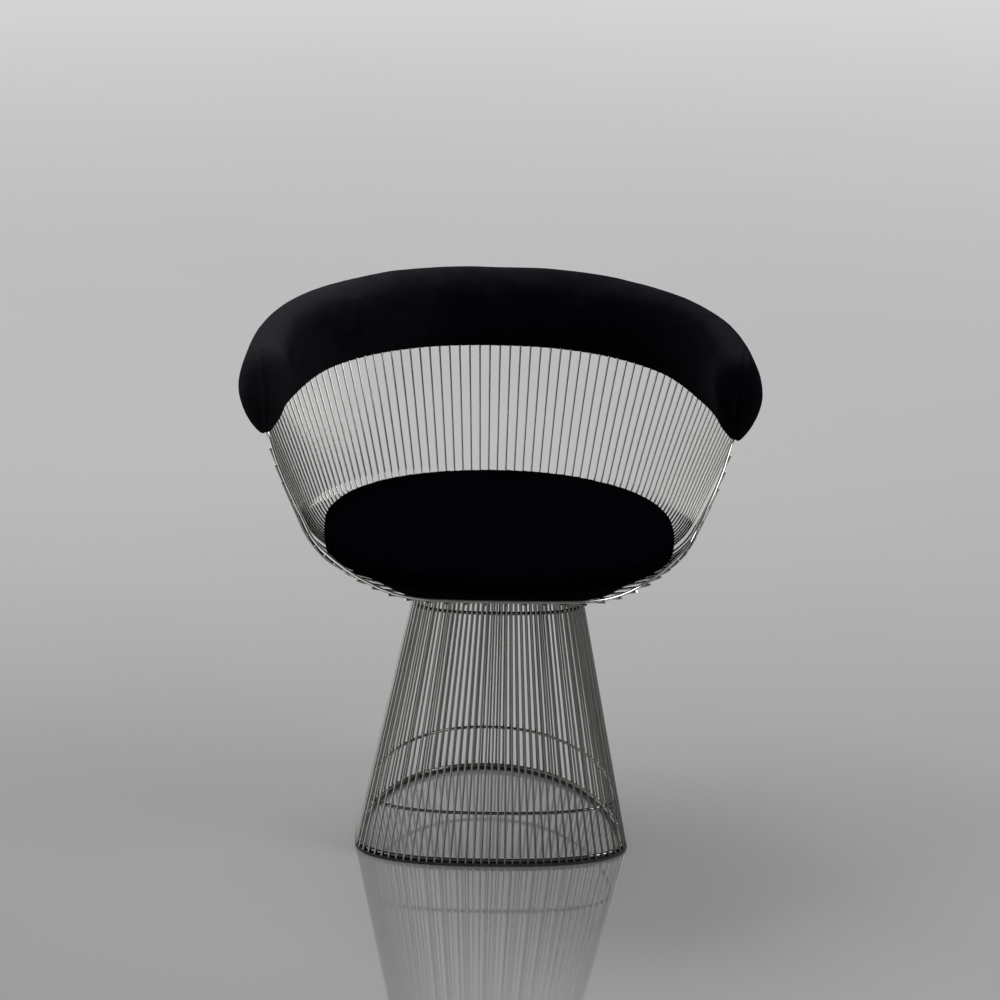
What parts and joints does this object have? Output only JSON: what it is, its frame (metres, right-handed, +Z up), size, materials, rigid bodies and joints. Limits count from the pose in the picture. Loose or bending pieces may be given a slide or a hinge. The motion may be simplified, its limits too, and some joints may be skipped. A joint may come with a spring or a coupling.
{
  "type": "velvet dining chair",
  "caption": "Wire pedestal armchair: flared cage of nickel rods carrying a rod bowl, velvet roll along the back and arms, loose velvet seat cushion.",
  "frame": {"origin": "on the floor below the middle of the chair's outline", "axes": "+Z up, the chair faces -Y, +X to the right of someone looking at the front"},
  "size_m": [0.7142, 0.591, 0.7441],
  "materials": {
    "nickel_wire": "bright nickel plate, polished",
    "glide_plastic": "black matte plastic",
    "foam": "open-cell foam",
    "velvet": "black velvet, short pile",
    "base_cloth": "black woven base cloth",
    "plywood": "raw birch plywood",
    "grip_rubber": "black soft rubber"
  },
  "bodies": {
    "frame": {"floor_glide_ring": "glide_plastic", "base_ring": "nickel_wire", "mid_ring": "nickel_wire", "waist_ring": "nickel_wire", "basket_ring": "nickel_wire", "seat_support_ring": "nickel_wire", "top_rail": "nickel_wire", "front_edge_rod": "nickel_wire", "pedestal_wires_front": "nickel_wire", "pedestal_wires_left": "nickel_wire", "pedestal_wires_right": "nickel_wire", "pedestal_wires_rear": "nickel_wire", "basket_wires_back": "nickel_wire", "basket_wires_left": "nickel_wire", "basket_wires_right": "nickel_wire", "basket_wires_front": "nickel_wire", "pad_foam_arm_left": "foam", "pad_foam_back_left": "foam", "pad_foam_back_right": "foam", "pad_foam_arm_right": "foam", "pad_cover": "velvet", "pad_end_left": "velvet", "pad_end_right": "velvet"},
    "seat_cushion": {"seat_board": "plywood", "seat_foam": "foam", "seat_top_panel": "velvet", "seat_side_band": "velvet", "seat_bottom_cloth": "base_cloth", "cushion_grip_pads": "grip_rubber"}
  },
  "joints": [
    {"name": "cushion_lift", "type": "slide", "parent": "frame", "child": "seat_cushion", "axis": [0, 0, 1], "range_m": [0, 0.36]}
  ]
}
